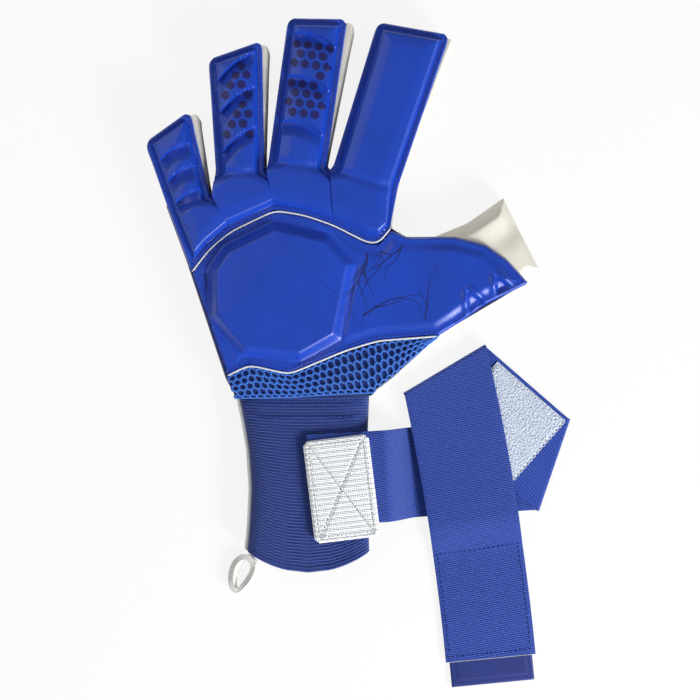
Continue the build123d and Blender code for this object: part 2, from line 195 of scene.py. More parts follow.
WEBBING = material("white_webbing", (0.80, 0.82, 0.84), 0.8, woven(radians(7), 0.0013, 0.04, 0.0002))
TAPE = material("white_tape", (0.80, 0.79, 0.75), 0.8, woven(radians(68), 0.0008, 0.05, 0.0002))
FUZZY = material("loop_fuzz", (0.56, 0.63, 0.76), 0.95, fuzz, sheen=0.5)
TAB = material("tab_rubber", (0.006, 0.02, 0.17), 0.5, foam)
LINING = material("lining_cloth", (0.02, 0.03, 0.12), 0.9, woven(0, 0.001))
for node, obj in frame["nodes"].items():
    if node.endswith("lining"):
        obj.data.materials.clear()
        obj.data.materials.append(EDGE if node.endswith("finger_back_lining") else LINING)

# ---------------------------------------------------------------- mesh helpers


def mesh_piece(name, verts, faces, mat, slot, body=None, blend=None, nodes=(), sharp=40):
    """A piece from points in millimetres, riding on a body; given a blend, it is only baked in place and rides on
    neither body.
    """
    mesh = bpy.data.meshes.new(name)
    mesh.from_pydata([(x * MM, y * MM, z * MM) for x, y, z in verts], [], faces)
    mesh.materials.append(mat)
    obj = bpy.data.objects.new(name, mesh)
    bpy.context.scene.collection.objects.link(obj)
    mesh.shade_smooth()
    mesh.set_sharp_from_angle(angle=radians(sharp))
    if blend:
        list(blend)
        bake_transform(obj)
    else:
        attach(obj, body)
    if nodes:
        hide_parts(*nodes)
    return obj


def along(points, share):
    """The point at a share of a polyline's length."""
    lengths = [math.dist(a, b) for a, b in zip(points, points[1:])]
    left = share * sum(lengths)
    for a, b, length in zip(points, points[1:], lengths):
        if left <= length or b is points[-1]:
            t = min(left / length, 1)
            return (a[0] + (b[0] - a[0]) * t, a[1] + (b[1] - a[1]) * t)
        left -= length


def softened(points, count, passes=3):
    """A polyline resampled evenly, with its corners softened."""
    line = [along(points, i / count) for i in range(count + 1)]
    for _ in range(passes):
        line = [line[0]] + [tuple((a + 2 * b + c) / 4 for a, b, c in zip(p, q, r))
                            for p, q, r in zip(line, line[1:], line[2:])] + [line[-1]]
    return line


def ruled(name, left, right, top, low, mat, slot, rows=80, columns=36, passes=3, foot=None, corner=0.0,
          **how):
    """A closed sheet between two edges; top and low give its heights at (x, y, u, v).

    A foot path bends its first row, and corner rounds the two corners of its last row."""
    a = softened(left, rows, passes)
    b = softened(right, rows, passes)
    upper, lower = [], []
    for i in range(rows + 1):
        for j in range(columns + 1):
            v = j / columns
            x = a[i][0] + (b[i][0] - a[i][0]) * v
            y = a[i][1] + (b[i][1] - a[i][1]) * v
            if foot:
                fade = 1 - smooth(0, 0.2, i / rows)
                fx, fy = along(foot, v)
                x += (fx - a[0][0] - (b[0][0] - a[0][0]) * v) * fade
                y += (fy - a[0][1] - (b[0][1] - a[0][1]) * v) * fade
            if corner:
                across = math.dist(a[-1], b[-1])
                reach = max(0.0, abs(v - 0.5) * across - across / 2 + corner) / corner
                back = corner * (1 - math.sqrt(max(0.0, 1 - reach * reach))) * smooth(0.8, 1, i / rows)
                ex, ey = a[-1][0] + b[-1][0] - a[-9][0] - b[-9][0], a[-1][1] + b[-1][1] - a[-9][1] - b[-9][1]
                size = math.hypot(ex, ey)
                x -= ex / size * back
                y -= ey / size * back
            upper.append((x, y, top(x, y, i / rows, v)))
            lower.append((x, y, low(x, y, i / rows, v)))
    faces = []
    n = columns + 1
    total = len(upper)
    for i in range(rows):
        for j in range(columns):
            k = i * n + j
            faces.append((k, k + 1, k + n + 1, k + n))
            faces.append((total + k, total + k + n, total + k + n + 1, total + k + 1))
    rim = [i * n for i in range(rows + 1)] + [rows * n + j for j in range(1, n)]
    rim += [i * n + columns for i in range(rows - 1, -1, -1)] + list(range(columns - 1, 0, -1))
    for p, q in zip(rim, rim[1:] + rim[:1]):
        faces.append((p, q, q + total, p + total))
    return mesh_piece(name, upper + lower, faces, mat, slot, **how)


def wall(name, path, low, high, thickness, mat, slot, bulge=1.0, **how):
    """A side strip along a path, bulging outwards between its two edges."""
    line = softened(path, max(12, int(sum(map(math.dist, path, path[1:])) / 2)), 1)
    verts, faces = [], []
    steps = 8
    for i, (x, y) in enumerate(line):
        a = line[max(i - 1, 0)]
        b = line[min(i + 1, len(line) - 1)]
        size = math.dist(a, b)
        nx, ny = (b[1] - a[1]) / size, (a[0] - b[0]) / size
        for side in (0, 1):
            for k in range(steps + 1):
                t = k / steps
                swell = -bulge * math.sin(math.pi * t) + side * thickness
                verts.append((x + nx * swell, y + ny * swell, low + (high - low) * t))
    n = 2 * (steps + 1)
    ring = list(range(steps + 1)) + [n - 1 - k for k in range(steps + 1)]
    for i in range(len(line) - 1):
        for p, q in zip(ring, ring[1:] + ring[:1]):
            faces.append((i * n + p, i * n + q, (i + 1) * n + q, (i + 1) * n + p))
    faces.append([p for p in ring[::-1]])
    faces.append([(len(line) - 1) * n + p for p in ring])
    return mesh_piece(name, verts, faces, mat, slot, **how)


def stitches(name, path, height, mat, slot, pitch=2.6, long=1.7, **how):
    """A row of thread stitches lying on a surface."""
    length = sum(map(math.dist, path, path[1:]))
    verts, faces = [], []
    count = max(2, int(length / pitch))
    for i in range(count):
        x, y = along(path, (i + 0.3) / count)
        x2, y2 = along(path, min(1, (i + 0.3) / count + 0.02))
        size = math.dist((x, y), (x2, y2)) or 1
        dx, dy = (x2 - x) / size, (y2 - y) / size
        z = height(x, y)
        start = len(verts)
        for t, r in ((-0.5, 0.12), (-0.3, 0.3), (0.3, 0.3), (0.5, 0.12)):
            for k in range(6):
                angle = math.pi * k / 3
                across = r * math.cos(angle)
                verts.append((x + dx * t * long - dy * across, y + dy * t * long + dx * across,
                              z + 0.1 + r * math.sin(angle) + 0.12 * (0.5 - abs(t))))
        for s in range(3):
            for k in range(6):
                m = (k + 1) % 6
                faces.append((start + s * 6 + k, start + s * 6 + m,
                              start + s * 6 + 6 + m, start + s * 6 + 6 + k))
        faces.append([start + k for k in range(5, -1, -1)])
        faces.append([start + 18 + k for k in range(6)])
    return mesh_piece(name, verts, faces, mat, slot, **how)


def smooth(low, high, value):
    """An eased step from 0 at low to 1 at high."""
    t = min(max((value - low) / (high - low), 0), 1)
    return t * t * (3 - 2 * t)


def turned(point, angle):
    """A plan vector turned by degrees."""
    c, s = math.cos(radians(angle)), math.sin(radians(angle))
    return (point[0] * c - point[1] * s, point[0] * s + point[1] * c)


def ahead(point, angle, distance):
    """The plan point at a distance along a heading."""
    step = turned((distance, 0), angle)
    return (point[0] + step[0], point[1] + step[1])


# ---------------------------------------------------------------- fingers with their knuckles

# lean to the thumb side, half widths at the fold and the tip, side lengths, roll of the latex
FINGERS = {
    "little": dict(lean=-16.0, base=12.0, tip=14.0, outer=36.0, inner=46.0, roll=4.5),
    "ring": dict(lean=-2.4, base=13.25, tip=14.75, outer=60.0, inner=69.0, roll=4.0),
    "middle": dict(lean=8.0, base=15.75, tip=16.0, outer=76.0, inner=80.0, roll=5.0),
    "index": dict(lean=18.0, base=18.5, tip=19.75, outer=81.5, inner=87.0, roll=4.0),
}
CROTCH_DROPS = (8.0, 4.5, 2.5)
# where the seam under the knuckles meets each finger's share of them
SEAM = [(-91.3, 46.0), (-81.5, 58.6), (-70.0, 68.0), (-46.0, 79.5), (-30.0, 77.0), (-14.0, 71.5),
        (4.0, 62.3), (10.0, 61.2), (17.0, 70.0)]
SEAM_SHARES = [SEAM[:3], SEAM[2:4], SEAM[3:6], SEAM[5:]]


def finger_point(name, x, y):
    """A point of a finger's own frame in plan."""
    finger = FINGERS[name]
    base = joint_point(name + "_finger_curl")
    step = turned((x, y), -finger["lean"])
    return (base[0] + step[0], base[1] + step[1])


names = list(FINGERS)
crotches = []
for one, two, drop in zip(names, names[1:], CROTCH_DROPS):
    a = finger_point(one, FINGERS[one]["base"], 0)
    b = finger_point(two, -FINGERS[two]["base"], 0)
    crotches.append(((a[0] + b[0]) / 2, (a[1] + b[1]) / 2 - drop))
lefts = [None] + crotches
rights = crotches + [None]


def pad_height(name, steps):
    """The moulded back of a finger: flat rim, raised pad, crescent steps."""
    finger = FINGERS[name]
    base = joint_point(name + "_finger_curl")
    half = finger["base"]
    levels = []
    for point in steps["points"]:
        lx, ly = turned((point[0] - base[0], point[1] - base[1]), finger["lean"])
        levels.append(ly + lx * lx / half * STEP_BOW - lx * steps["slant"])

    def top(x, y, u, v):
        """The height at a plan point."""
        lx, ly = turned((x - base[0], y - base[1]), finger["lean"])
        half = finger["base"] + (finger["tip"] - finger["base"]) * min(max(ly / finger["outer"], 0), 1)
        share = (lx + finger["tip"]) / (2 * finger["tip"])
        end = finger["outer"] + (finger["inner"] - finger["outer"]) * share
        outer = name == "little" and lx < 0
        inner = name == "index" and lx > 0
        side = half - abs(lx)
        if outer or inner:
            # the free sides keep their rim down to the seam
            side = min(v, 1 - v) * 2 * half
        else:
            side += 12 * smooth(-2, -12, ly)
        edge = min(side, end - ly)
        seam = u * (end + 25)
        edge = min(edge, seam)
        rise = 4.2 * smooth(RIM - 0.4, RIM + 2.6, edge) + 1.2 * smooth(RIM, RIM + 9, edge)
        z = BACK + FLANGE * smooth(-0.6, 0.5, edge) + rise
        z -= 0.35 * smooth(0.8, 0, abs(edge - RIM + 0.2))
        if edge > RIM:
            bow = ly + lx * lx / half * STEP_BOW - lx * steps["slant"]
            for level in levels:
                gap = bow - level
                z -= STEP_DEPTH * smooth(0.9, 0.0, gap) * smooth(-9.0, -0.4, gap) * smooth(RIM, RIM + 3, edge)
        # soft creases above each knuckle
        z -= 0.9 * math.exp(-((ly + 3) / 2.2) ** 2) * smooth(RIM, RIM + 4, edge)
        return z
    return top


# crescent steps in each pad: a plan point on each one, and the way they slope across the finger
STEP_BOW = 0.32
STEP_DEPTH = 3.4
STEPS = {
    "little": dict(points=[(-92.6, 88.0), (-97.0, 100.0), (-101.2, 111.5)], slant=0.3),
    "ring": dict(points=[(-69.9, 156.1), (-69.9, 137.4), (-68.0, 116.5)], slant=0.75),
    "middle": dict(points=[(-24.3, 173.7), (-29.2, 150.6), (-32.8, 126.4)], slant=-0.18),
    "index": dict(points=[], slant=0.0),
}
DOTS_FROM = {"ring": 18.0, "middle": 25.0}
back_tops = {}
for i, name in enumerate(names):
    finger = FINGERS[name]
    body = name + "_finger"
    seam = SEAM_SHARES[i]
    left = [seam[0]] + ([lefts[i]] if lefts[i] else [])
    left += [finger_point(name, -finger["base"], 0), finger_point(name, -finger["tip"], finger["outer"])]
    right = [seam[-1]] + ([rights[i]] if rights[i] else [])
    right += [finger_point(name, finger["base"], 0), finger_point(name, finger["tip"], finger["inner"])]
    near = finger_point(name, 0, -9)
    far = finger_point(name, 0, 9)
    hinge = ("hand", body, (near[0] * MM, near[1] * MM, BACK * MM), (far[0] * MM, far[1] * MM, BACK * MM))
    top = pad_height(name, STEPS[name])
    back_tops[name] = top
    nodes = [body + "_back"] + (["knuckle_panel"] if name == "middle" else [])
    back = ruled(name + "_moulded_back", left, right, top, lambda x, y, u, v: BACK + 0.02, BLUE,
                 "back_foam", rows=170, columns=64, passes=4, foot=seam, corner=5.0, blend=hinge, nodes=nodes)

    # dark side strips, bulging a little, baked in place; they do not follow the curl
    for side, end in ((-1, "outer"), (1, "inner")):
        path = [finger_point(name, side * (finger["base"] - 0.4), -5),
                finger_point(name, side * (finger["base"] - 0.4), 0),
                finger_point(name, side * (finger["tip"] - 0.6), finger[end] - 2)]
        path = path if side < 0 else path[::-1]
        wall(f"{name}_{end}_gusset", path, LATEX, BACK, 2.2, NAVY if side < 0 else CREAM, "gusset_mesh",
             bulge=0.3, blend=hinge,
             nodes=[body + "_gusset"] if side < 0 else ())
    tip_path = [finger_point(name, -finger["tip"] + 0.6, finger["outer"] - 2),
                finger_point(name, finger["tip"] - 0.6, finger["inner"] - 2)]
    wall(name + "_tip_gusset", tip_path, LATEX, BACK, 2.6, CREAM, "palm_latex", bulge=1.2, body=body)

    # latex palm finger; its thumb-side edge rolls up beside the back
    roll = finger["roll"]
    grip_left = [finger_point(name, -finger["base"], 0.2),
                 finger_point(name, -finger["tip"], finger["outer"] - 1)]
    grip_right = [finger_point(name, finger["base"] + 0.5, 0.2),
                  finger_point(name, finger["tip"] + roll - 0.3, finger["inner"] - 1.5)]
    reach = 0.80

    def grip_top(x, y, u, v):
        """The top of the latex finger."""
        return LATEX + (14.5 * smooth(reach, reach + 0.07, v) - 5 * smooth(0.95, 1.0, v)) * smooth(0, 0.12, u)

    def grip_low(x, y, u, v):
        """The underside of the latex finger."""
        return (5.0 * smooth(0.86, 1.0, v) * smooth(0, 0.12, u) + 1.6 * smooth(0.06, 0.0, v)
                + 1.6 * smooth(0.95, 1.0, u))
    grip = ruled(name + "_latex_finger", grip_left, grip_right, grip_top, grip_low, CREAM,
                 "palm_latex", rows=60, columns=40, passes=2, corner=4.0, body=body, nodes=[body + "_latex"])

    # rows of thread round the rim
    rim_in = RIM * 0.45
    rim_path = [finger_point(name, -finger["base"] + rim_in, 4),
                finger_point(name, -finger["tip"] + rim_in, finger["outer"] - rim_in),
                finger_point(name, finger["tip"] - rim_in, finger["inner"] - rim_in - 1),
                finger_point(name, finger["base"] - rim_in, 4)]
    flat = BACK + FLANGE - 0.1
    stitches(name + "_rim_thread", rim_path, lambda x, y: flat, THREAD, "back_foam", body=body)

# honeycomb dots, lying on the moulded pads
for name, first in DOTS_FROM.items():
    finger = FINGERS[name]
    verts, faces = [], []
    pitch, row_step = 6.1, 5.3
    for row in range(16):
        for column in range(-3, 4):
            lx = (column + 0.5 * (row % 2)) * pitch
            ly = first + row * row_step
            end = finger["outer"] + (finger["inner"] - finger["outer"]) * (lx + finger["tip"]) / 2 / finger["tip"]
            if abs(lx) > finger["tip"] - RIM - 1.6 or ly > end - RIM - 2.2:
                continue
            middle = finger_point(name, lx, ly)
            corners, heights = [], []
            for ring in (2.45, 1.6, 0.8):
                for k in range(6):
                    hx, hy = turned((ring, 0), 30 + 60 * k)
                    corners.append(finger_point(name, lx + hx, ly + hy))
                    heights.append(back_tops[name](*corners[-1], 0.9, 0.5))
            if max(heights) - min(heights) > 2.9:
                continue
            start = len(verts)
            verts += [(x, y, z - 0.3) for (x, y), z in zip(corners[:6], heights)]
            verts += [(x, y, z + 0.3) for (x, y), z in zip(corners, heights)]
            verts.append((*middle, back_tops[name](*middle, 0.9, 0.5) + 0.3))
            for s in (0, 6, 12):
                for k in range(6):
                    m = (k + 1) % 6
                    faces.append((start + s + k, start + s + m, start + s + 6 + m, start + s + 6 + k))
            faces += [(start + 18 + k, start + 18 + (k + 1) % 6, start + 24) for k in range(6)]
            faces.append([start + k for k in range(5, -1, -1)])
    mesh_piece(name + "_dots", verts, faces, DOT, "back_foam", body=name + "_finger")

# ---------------------------------------------------------------- back of the hand and thumb

# the seam over the wrist runs on round the thumb's heel side; the knuckle seam runs on to its tip
LOWER = [(-71.8, -10.5), (-60.0, -4.7), (-38.0, -9.6), (-8.0, 3.0), (10.0, 8.5), (43.0, 11.0),
         (52.8, 17.0), (69.3, 28.5), (80.9, 34.0), (91.0, 39.0)]
UPPER = [(-91.3, 45.6), (-81.5, 58.2), (-70.0, 67.6), (-46.0, 79.1), (-30.0, 76.6), (-14.0, 71.1),
         (4.0, 61.9), (10.4, 60.8), (17.2, 68.6), (26.0, 64.6), (52.3, 64.8), (69.3, 60.3), (81.0, 52.0), (91.6, 40.5)]
PAD = [(-81, 47), (-81, 21), (-63, 1), (-50, 0), (-32, -2.3), (-11, 9.6), (-2.5, 50), (-18, 65.5),
       (-46, 72), (-73, 59)]
CRACKS = [((4, 56), -75, 34), ((2, 22), 28, 36), ((24, 60), -125, 30), ((36, 20), 78, 22), ((-84, 45), -75, 12)]
VALLEYS = [((57.2, 38.5), -61, 17), ((72.6, 46.5), -61, 14)]


def edge_distance(points, x, y, closed=False):
    """How far a plan point lies from a polyline."""
    best = 1e9
    for a, b in zip(points, points[1:] + (points[:1] if closed else [])):
        dx, dy = b[0] - a[0], b[1] - a[1]
        t = min(max(((x - a[0]) * dx + (y - a[1]) * dy) / (dx * dx + dy * dy), 0), 1)
        best = min(best, math.dist((x, y), (a[0] + dx * t, a[1] + dy * t)))
    return best


def inside(points, x, y):
    """Whether a plan point lies within a closed outline."""
    count = 0
    for (ax, ay), (bx, by) in zip(points, points[1:] + points[:1]):
        if (ay > y) != (by > y) and x < (bx - ax) * (y - ay) / (by - ay) + ax:
            count += 1
    return count % 2 == 1


def hand_top(x, y, u=0.5, v=0.5):
    """The moulded back of the hand: rim, raised pad, valleys in the thumb."""
    edge = min(edge_distance(LOWER, x, y), edge_distance(UPPER, x, y), max(u, 0.0) * 150)
    z = BACK + 0.4 + (FLANGE - 0.4) * smooth(-0.3, 1.2, edge)
    z += 0.9 * smooth(RIM, RIM + 5, edge)
    depth = edge_distance(PAD, x, y, True) * (1 if inside(PAD, x, y) else -1)
    z += 4.4 * smooth(-0.6, 4.6, depth) + 0.8 * smooth(3, 20, depth)
    z -= 0.7 * math.exp(-((depth + 1.6) / 1.1) ** 2)
    for apex, angle, length in VALLEYS:
        lx, ly = turned((x - apex[0], y - apex[1]), -angle)
        spread = 0.6 + 0.36 * max(lx, 0)
        z -= 2.6 * smooth(spread, spread - 2.2, abs(ly)) * smooth(-1, 5, lx) * smooth(length, length - 4, lx)
        z += (0.9 * smooth(spread + 3.5, spread + 0.5, abs(ly)) * smooth(0, 5, lx)
              * smooth(length, length - 4, lx))
    z += 1.0 * smooth(30, 52, x) * smooth(RIM, RIM + 6, edge)
    return z


def hand_low(x, y, u, v):
    """The underside of the hand back."""
    return BACK + 0.02


fold = joint_point("thumb_curl")
thumb_near = ahead(fold, 30, -9)
thumb_far = ahead(fold, 30, 9)
thumb_hinge = ("hand", "thumb", (thumb_near[0] * MM, thumb_near[1] * MM, BACK * MM),
               (thumb_far[0] * MM, thumb_far[1] * MM, BACK * MM))
hand_back = ruled("hand_moulded_back", LOWER, UPPER, hand_top, hand_low, BLUE, "back_foam", rows=200,
                  columns=110, passes=3, blend=thumb_hinge, nodes=["hand_back_panel", "thumb_back"])


def offset_path(points, distance):
    """A path moved to its left."""
    moved = []
    for i, p in enumerate(points):
        a = points[max(i - 1, 0)]
        b = points[min(i + 1, len(points) - 1)]
        size = math.dist(a, b)
        moved.append((p[0] - (b[1] - a[1]) / size * distance, p[1] + (b[0] - a[0]) / size * distance))
    return moved


def flat_rim(x, y):
    """The height of the flat rim."""
    return BACK + FLANGE - 0.1


for name, path, body in (
        ("knuckle_seam", offset_path(SEAM, 1.6), "hand"),
        ("hand_seam", offset_path(softened(UPPER[:9], 60), -1.6), "hand"),
        ("wrist_seam", offset_path(softened(LOWER[:6], 60), 1.8), "hand"),
        ("thumb_rim", offset_path(softened(LOWER[6:], 20), 1.6), "thumb"),
        ("thumb_top", offset_path(softened(UPPER[10:], 20), -1.6), "thumb")):
    stitches(name + "_thread", path, flat_rim, THREAD, "back_foam", body=body)


def cord_mesh(name, path, height, radius, mat, slot, **how):
    """A thin round edge along a path."""
    line = softened(path, max(6, int(sum(map(math.dist, path, path[1:])) / 1.5)), 2)
    verts, faces = [], []
    for i, (x, y) in enumerate(line):
        a, b = line[max(i - 1, 0)], line[min(i + 1, len(line) - 1)]
        size = math.dist(a, b)
        nx, ny = -(b[1] - a[1]) / size, (b[0] - a[0]) / size
        r = radius * (0.25 if i in (0, len(line) - 1) else 1)
        for k in range(8):
            c, s = math.cos(math.pi * k / 4), math.sin(math.pi * k / 4)
            verts.append((x + nx * r * c, y + ny * r * c, height(x, y) + r * s))
    for i in range(len(line) - 1):
        for k in range(8):
            m = (k + 1) % 8
            faces.append((i * 8 + k, i * 8 + m, i * 8 + 8 + m, i * 8 + 8 + k))
    faces.append(list(range(7, -1, -1)))
    faces.append([len(line) * 8 - 8 + k for k in range(8)])
    return mesh_piece(name, verts, faces, mat, slot, **how)


cord_mesh("knuckle_seam_edge", offset_path(softened(SEAM, 60), -0.4), flat_rim, 0.45, EDGE, "white_tape",
          body="hand")
cord_mesh("wrist_seam_edge", offset_path(softened(LOWER[:6], 60), -0.3), flat_rim, 0.5, EDGE,
          "white_tape", body="hand")


verts, faces = [], []
for start, angle, length in CRACKS:
    x, y = start
    branches = [(start, angle, length, 0.38)]
    while branches:
        (x, y), heading, size, width = branches.pop()
        steps = max(3, int(size / 2))
        base = len(verts)
        for i in range(steps + 1):
            r = width * (1 - i / steps) + 0.05
            nx, ny = turned((0, 1), heading)
            for side in (1, -1):
                px, py = x + nx * r * side, y + ny * r * side
                verts.append((px, py, hand_top(px, py) + 0.08))
            if i:
                k = base + 2 * i
                faces.append((k - 2, k - 1, k + 1, k))
                if size > 13 and random.random() < 0.2:
                    branches.append(((x, y), heading + random.choice((-38, 34)), size * 0.5, r * 0.7))
            heading += random.uniform(-13, 13)
            step = ahead((x, y), heading, size / steps)
            if edge_distance(LOWER, *step) < RIM + 1 or edge_distance(UPPER, *step) < RIM + 1:
                heading += 120
                step = ahead((x, y), heading, size / steps)
            x, y = step
mesh_piece("crack_print", verts, faces, CRACK, "back_foam", body="hand")

# ---------------------------------------------------------------- thumb latex

HALF = 27.6


def thumb_point(x, y):
    """The plan point of a place in the thumb's own axes."""
    step = turned((x, y), -60)
    return (fold[0] + step[0], fold[1] + step[1])


wrap_left = [thumb_point(-HALF, 0.2), thumb_point(-20.5, 11), thumb_point(-17.5, 34), thumb_point(-19.5, 58)]
wrap_right = [thumb_point(HALF - 0.3, 0.2), thumb_point(HALF - 0.3, 45), thumb_point(24, 55.5)]


def wrap_top(x, y, u, v):
    """The latex rolls over the thumb and dips under the blue panel."""
    edge = min(v * 46, (1 - v) * 46, (1 - u) * 58)
    crown = 4.5 + 13.0 * math.sqrt(smooth(-1.5, 8, edge))
    return crown - 2.2 * math.exp(-((v - 0.38) / 0.16) ** 2) * smooth(0.5, 0.9, u)


def wrap_low(x, y, u, v):
    """The underside of the thumb wrap."""
    edge = min(v * 46, (1 - v) * 46, (1 - u) * 58)
    return 2.5 * smooth(3, 0, edge)


wrap = ruled("thumb_latex_wrap", wrap_left, wrap_right, wrap_top, wrap_low, CREAM, "palm_latex", rows=80,
             columns=60, passes=3, body="thumb", nodes=["thumb_latex", "thumb_wrap"])

# ---------------------------------------------------------------- palm and sides

outer = finger_point("little", -12, 0)
index_end = finger_point("index", 18.5, 0)
thumb_upper, thumb_lower = thumb_point(-HALF, 0), thumb_point(HALF, 0)
PALM_LEFT = [(BAND_LOW[0] + 0.6, WRIST_Y), (-72.0, -13.0), (-94.0, 53.0), outer]
PALM_RIGHT = [(BAND_HIGH[0], WRIST_Y), (11.0, -18.0), (42.0, 10.5), thumb_lower, thumb_upper, (16.5, 70),
              index_end]


def palm_piece():
    """The palm's latex as one sheet with the finger folds along its top."""
    folds = []
    for i, name in enumerate(names):
        finger = FINGERS[name]
        folds.append(finger_point(name, -finger["base"], -0.2))
        folds.append(finger_point(name, finger["base"], -0.2))
        if rights[i]:
            folds.append(rights[i])
    outline = PALM_LEFT[:-1] + folds + PALM_RIGHT[::-1][1:]
    rings = []
    for z, draw in ((1.2, 0.0), (0.0, 1.2)):
        rings.append([(x, y, z) for x, y in offset_path(outline, -draw)])
    rings.insert(0, [(x, y, LATEX) for x, y in outline])
    verts = sum(rings, [])
    n = len(outline)
    faces = [list(range(n))[::-1], [2 * n + k for k in range(n)]]
    for ring in (0, n):
        for k in range(n):
            m = (k + 1) % n
            faces.append((ring + k, ring + m, ring + n + m, ring + n + k))
    return mesh_piece("palm_latex_sheet", verts, faces, CREAM, "palm_latex", body="hand", nodes=["palm_latex"],
                      sharp=25)


palm_piece()
WALL_T = 2.6                             # thickness of the side walls
wall("outer_side_wall", PALM_LEFT, LATEX - 0.2, BACK + 1, WALL_T, NAVY, "gusset_mesh", bulge=1.0, body="hand",
     nodes=["outer_side_gusset"])
wall("index_side_wall", [index_end, (16.5, 69.5), thumb_upper], LATEX, BACK, WALL_T, CREAM, "palm_latex",
     bulge=1.0, blend=thumb_hinge, nodes=["index_side_gusset"])
wall("thumb_heel_wall", [thumb_lower, (42.5, 10), (11, -18.5), (BAND_HIGH[0], WRIST_Y)], LATEX, BACK, WALL_T,
     CREAM, "palm_latex", bulge=0.8, blend=thumb_hinge, nodes=["thumb_heel_gusset"])
frame["nodes"]["finger_webs"].data.materials.clear()
frame["nodes"]["finger_webs"].data.materials.append(NAVY)

# ---------------------------------------------------------------- air mesh

mesh_bottom = [(-67.5, -23.0), (-38.0, -22.4), (-10.0, -20.6), (8.0, -20.0), (19.0, -11.5), (33.0, 1.5),
               (42.0, 9.8)]
mesh_top = LOWER[:6]


def mesh_height(x, y, u=0.5, v=0.5):
    """The height of the air mesh panel."""
    return BACK + 0.6 + 1.6 * math.sin(math.pi * min(max(v, 0), 1)) ** 0.5


ruled("air_mesh_base", mesh_bottom, mesh_top, lambda x, y, u, v: mesh_height(x, y, u, v) - 0.9,
      lambda x, y, u, v: BACK - 0.4, UNDER_MESH, "air_mesh", rows=60, columns=14, passes=2, body="hand",
      nodes=["mesh_panel"])


def lattice(name, low_line, high_line, columns, rows, mat, thick, **how):
    """Knitted net: hexagonal cells laid between two edges, then given thickness."""
    a, b = softened(low_line, 120, 2), softened(high_line, 120, 2)
    verts, faces, seen = [], [], {}

    def corner(cx, cy):
        """The index of a lattice corner, made when it is new."""
        key = (round(cx, 3), round(cy, 3))
        if key not in seen:
            u = min(max(cx / columns, 0), 1)
            v = min(max(cy / rows, 0), 1)
            p, q = along(a, u), along(b, u)
            x, y = p[0] + (q[0] - p[0]) * v, p[1] + (q[1] - p[1]) * v
            seen[key] = len(verts)
            verts.append((x, y, mesh_height(x, y, u, v)))
        return seen[key]
    for r in range(rows + 1):
        for c in range(columns):
            cx = c + 0.5 + 0.5 * (r % 2)
            if cx > columns:
                continue
            ids = [corner(cx + dx, r + dy) for dx, dy in
                   ((0, -0.667), (0.5, -0.333), (0.5, 0.333), (0, 0.667), (-0.5, 0.333), (-0.5, -0.333))]
            if len(set(ids)) == 6:
                faces.append(ids)
    obj = mesh_piece(name, verts, faces, mat, "air_mesh", **how)
    wire = obj.modifiers.new("net", "WIREFRAME")
    wire.thickness = thick * MM
    wire.use_boundary = True
    return obj


lattice("air_mesh_net", mesh_bottom, mesh_top, 30, 5, AIR, 1.3, body="hand")
cord_mesh("air_mesh_edge", mesh_bottom[3:], lambda x, y: BACK + 0.4, 0.9, EDGE, "white_tape", body="hand")

# ---------------------------------------------------------------- wrist band

RIB = 1.65


def band_side(t):
    """The band's two sides and its dip at a share of its length."""
    left = BAND_LOW[0] + 0.3 + 4.6 * t + 4.4 * math.sin(math.pi * t)
    return left, BAND_HIGH[0] - 1.2 * math.sin(math.pi * t)


def band_piece():
    """A flattened knitted tube with raised ribs and a rolled hem."""
    around, rows = 128, 240
    verts, faces = [], []
    shells = ((0.0, 1), (2.3, -1))
    for inset, _ in shells:
        for i in range(rows + 1):
            t = i / rows
            left, right = band_side(t)
            cx, half = (left + right) / 2, (right - left) / 2
            rib = 0.32 * math.sin(2 * math.pi * t * 92 / RIB) if inset == 0 else 0
            hem = 0.8 * smooth(0.965, 0.98, t) * (1 if inset == 0 else 0)
            for k in range(around):
                angle = 2 * math.pi * k / around
                c, s = math.cos(angle), math.sin(angle)
                px = math.copysign(abs(c) ** 0.35, c)
                pz = math.copysign(abs(s) ** 0.6, s)
                x = cx + px * (half - 0.8 - inset + rib * 0.5)
                height = BAND_HIGH[2] / 2 - 0.9
                z = BAND_HIGH[2] / 2 + pz * (height - inset + rib + hem * 0.5)
                dip = 11.5 * (1 - ((x - cx) / half) ** 2) * t
                verts.append((x, WRIST_Y + 1 - (86 * t) - dip, z))
    size = (rows + 1) * around
    for i in range(rows):
        for k in range(around):
            m = (k + 1) % around
            p = i * around
            faces.append((p + k, p + around + k, p + around + m, p + m))
            faces.append((size + p + k, size + p + m, size + p + around + m, size + p + around + k))
    for i in (0, rows):
        for k in range(around):
            m = (k + 1) % around
            quad = (i * around + k, i * around + m, size + i * around + m, size + i * around + k)
            faces.append(quad if i == 0 else quad[::-1])
    return mesh_piece("ribbed_wrist_band", verts, faces, BAND, "band_elastic", body="hand",
                      nodes=["wrist_band"],
                      sharp=80)


band_piece()
piping_line = [(band_side(t)[0] + 0.2, WRIST_Y - 85 * t) for t in (0, 0.15, 0.35, 0.6, 0.85, 1)]
cord_mesh("white_side_piping", piping_line, lambda x, y: BAND_HIGH[2] * 0.62, 1.1, EDGE, "white_tape",
          body="hand",
          nodes=["side_piping"])
band_row = [(BAND_LOW[0] + 4, 0), (BAND_HIGH[0] - 3, 0)]
for drop in (4.5, 11.5):
    stitches(f"band_thread_{int(drop)}", [(x, WRIST_Y - drop) for x, _ in band_row],
             lambda x, y: BAND_HIGH[2] - 0.5, THREAD, "band_elastic", body="hand")

# ---------------------------------------------------------------- strap

